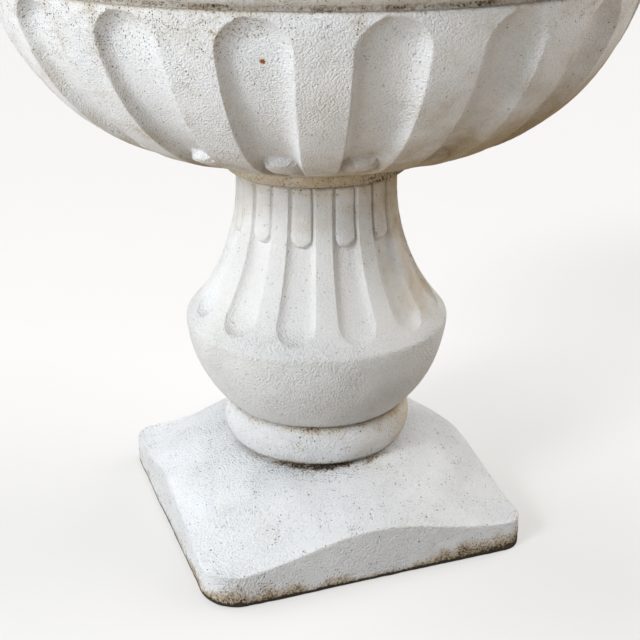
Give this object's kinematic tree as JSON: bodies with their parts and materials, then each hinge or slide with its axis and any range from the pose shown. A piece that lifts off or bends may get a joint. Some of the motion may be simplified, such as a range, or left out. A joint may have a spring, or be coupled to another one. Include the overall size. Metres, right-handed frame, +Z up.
{
  "type": "stone planter",
  "caption": "Weathered white cast-stone planter: a wide fluted bowl on a fluted baluster stem, a half-round base ring and a square plinth. The castings lift apart and drain down the middle.",
  "frame": {"origin": "middle of the plinth's underside", "axes": "+Z up along the planter's axis, X and Y square to the sides of the plinth"},
  "size_m": [0.5588, 0.5588, 0.547],
  "materials": {
    "cast_stone": "matte",
    "mortar": "matte",
    "dowel_steel": "satin",
    "tube_plastic": "matte"
  },
  "bodies": {
    "plinth": {"plinth": "cast_stone", "plinth_bed": "mortar"},
    "pedestal": {"base_ring": "cast_stone", "ring_bed": "mortar", "stem": "cast_stone", "pedestal_dowels": "dowel_steel", "drain_tube": "tube_plastic", "bowl_bed": "mortar"},
    "bowl": {"bowl": "cast_stone"}
  },
  "joints": [
    {"name": "stem_lift", "type": "slide", "parent": "plinth", "child": "pedestal", "axis": [0, 0, 1], "range_m": [0, 0.1]},
    {"name": "bowl_lift", "type": "slide", "parent": "pedestal", "child": "bowl", "axis": [0, 0, 1], "range_m": [0, 0.06]}
  ]
}
